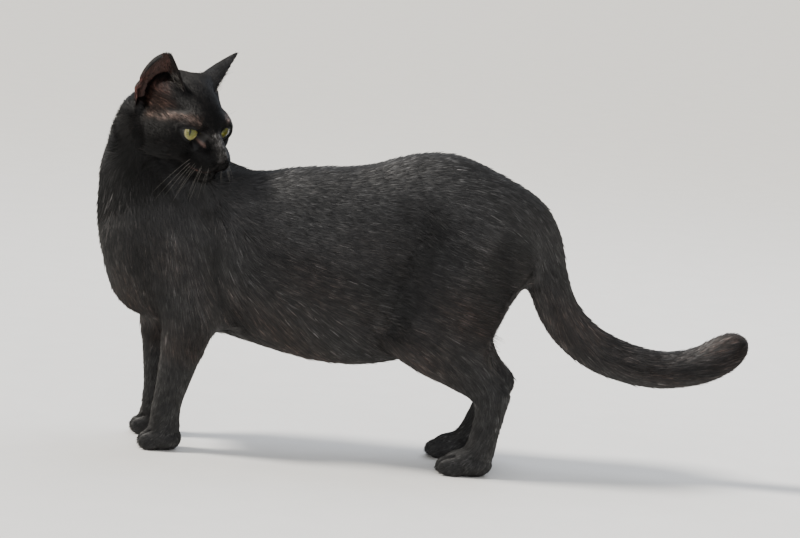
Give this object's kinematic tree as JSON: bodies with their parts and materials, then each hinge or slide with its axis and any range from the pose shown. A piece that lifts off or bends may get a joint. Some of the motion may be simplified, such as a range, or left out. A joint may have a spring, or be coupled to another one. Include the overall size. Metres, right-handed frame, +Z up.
{
  "type": "cat",
  "caption": "Life-size still model of a standing black short-haired cat that looks back over its left shoulder, tail curved out behind.",
  "frame": {"origin": "middle of the bounding box, on the floor under the paws", "axes": "+Z up; the cat's chest faces -X and its tail reaches +X; its left side is -Y"},
  "size_m": [0.5908, 0.1248, 0.3583],
  "materials": {
    "coat": "short glossy black fur",
    "ears": "thin skin with sparse short hair inside, black fur outside",
    "eyes": "wet and clear over a yellow-green iris with a slit pupil"
  },
  "bodies": {
    "root": {"trunk": "coat", "head": "coat", "neck": "coat", "tail_root": "coat", "tail_fore_length": "coat", "tail_rear_length": "coat", "tail_tip": "coat", "foreleg_left_paw": "coat", "foreleg_left_forearm": "coat", "foreleg_left_upper_arm": "coat", "hindleg_left_paw": "coat", "hindleg_left_foot": "coat", "hindleg_left_shank": "coat", "hindleg_left_thigh": "coat", "foreleg_right_paw": "coat", "foreleg_right_forearm": "coat", "foreleg_right_upper_arm": "coat", "hindleg_right_paw": "coat", "hindleg_right_foot": "coat", "hindleg_right_shank": "coat", "hindleg_right_thigh": "coat", "eye_left": "eyes", "eye_right": "eyes", "ear_left": "ears", "ear_right": "ears"}
  },
  "joints": []
}
